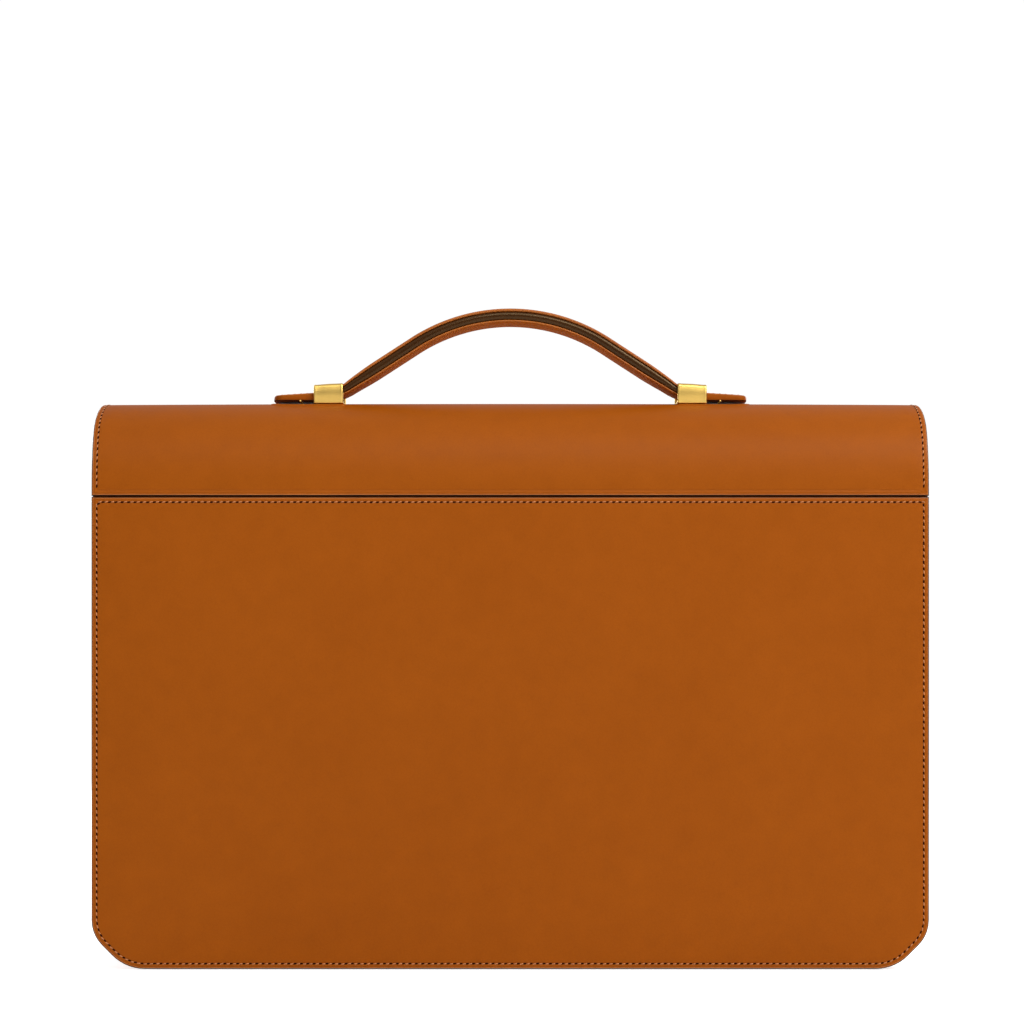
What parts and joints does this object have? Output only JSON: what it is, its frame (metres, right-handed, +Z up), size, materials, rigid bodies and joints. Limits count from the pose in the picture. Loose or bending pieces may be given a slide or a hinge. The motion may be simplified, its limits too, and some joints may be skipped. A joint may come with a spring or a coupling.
{
  "type": "briefcase",
  "caption": "Full-flap leather briefcase with a padded handle that slides in box loops, a back slip pocket and a turn lock.",
  "frame": {"origin": "on the resting plane, under the middle of the bounding box", "axes": "+X across the width, +Y out of the front that the flap closes over, +Z up"},
  "size_m": [0.4, 0.0886, 0.3189],
  "materials": {
    "case_leather": "smooth semi-gloss",
    "core_leather": "smooth semi-gloss",
    "suede_lining": "matte suede",
    "fibreboard": "matte",
    "brass": "polished",
    "steel": "satin"
  },
  "bodies": {
    "case": {"back_pocket_panel": "case_leather", "back_panel": "case_leather", "back_stiffener": "fibreboard", "back_lining": "suede_lining", "front_panel": "case_leather", "front_stiffener": "fibreboard", "front_lining": "suede_lining", "left_gusset": "case_leather", "right_gusset": "case_leather", "bottom_gusset": "case_leather", "left_gusset_lining": "suede_lining", "right_gusset_lining": "suede_lining", "base_board": "fibreboard", "base_lining": "suede_lining", "divider": "suede_lining", "divider_binding": "case_leather", "lock_base_plate": "brass", "lock_backing_plate": "steel", "lock_base_rivets": "brass"},
    "turn_knob": {"lock_knob": "brass", "lock_spindle": "steel", "lock_washer": "steel"},
    "flap": {"flap_leather": "case_leather", "flap_lining": "suede_lining", "handle_stay": "steel", "lock_eyelet_front": "brass", "lock_eyelet_back": "steel", "lock_eyelet_screws": "brass", "left_handle_loop": "brass", "right_handle_loop": "brass", "left_base_patch": "case_leather", "right_base_patch": "case_leather", "loop_screws": "steel", "loop_nuts": "steel"},
    "left_tail": {"left_handle_tail": "case_leather", "left_stop_stud": "brass"},
    "right_tail": {"right_handle_tail": "case_leather", "right_stop_stud": "brass"},
    "left_arm": {"left_handle_cover": "case_leather", "left_handle_core": "core_leather", "left_handle_lining": "case_leather"},
    "right_arm": {"right_handle_cover": "case_leather", "right_handle_core": "core_leather", "right_handle_lining": "case_leather"}
  },
  "joints": [
    {"name": "flap_fold", "type": "hinge", "parent": "case", "child": "flap", "pos_m": [0, -0.0446, 0.22575], "axis": [1, 0, 0], "range_deg": [0, 165]},
    {"name": "knob_turn", "type": "hinge", "parent": "case", "child": "turn_knob", "pos_m": [0, 0.0413, 0.123], "axis": [0, 1, 0], "range_deg": [0, 90]},
    {"name": "left_tail_slide", "type": "slide", "parent": "flap", "child": "left_tail", "axis": [-1, 0, 0], "range_m": [0, 0.0045]},
    {"name": "handle_press", "type": "hinge", "parent": "left_tail", "child": "left_arm", "pos_m": [-0.077, -0.0023, 0.2795], "axis": [0, 1, 0], "range_deg": [0, 8.6], "stiffness_Nm_per_rad": 0.8, "springref_deg": -5.73},
    {"name": "right_tail_slide", "type": "slide", "parent": "flap", "child": "right_tail", "axis": [1, 0, 0], "range_m": [0, 0.0045]},
    {"name": "right_arm_press", "type": "hinge", "parent": "right_tail", "child": "right_arm", "pos_m": [0.077, -0.0023, 0.2795], "axis": [0, -1, 0], "range_deg": [0, 8.7]}
  ],
  "couplings": [
    {"joint": "left_tail_slide", "follows": "handle_press", "m_per_rad": 0.0289},
    {"joint": "right_tail_slide", "follows": "handle_press", "m_per_rad": 0.0289},
    {"joint": "right_arm_press", "follows": "handle_press", "ratio": 1}
  ]
}
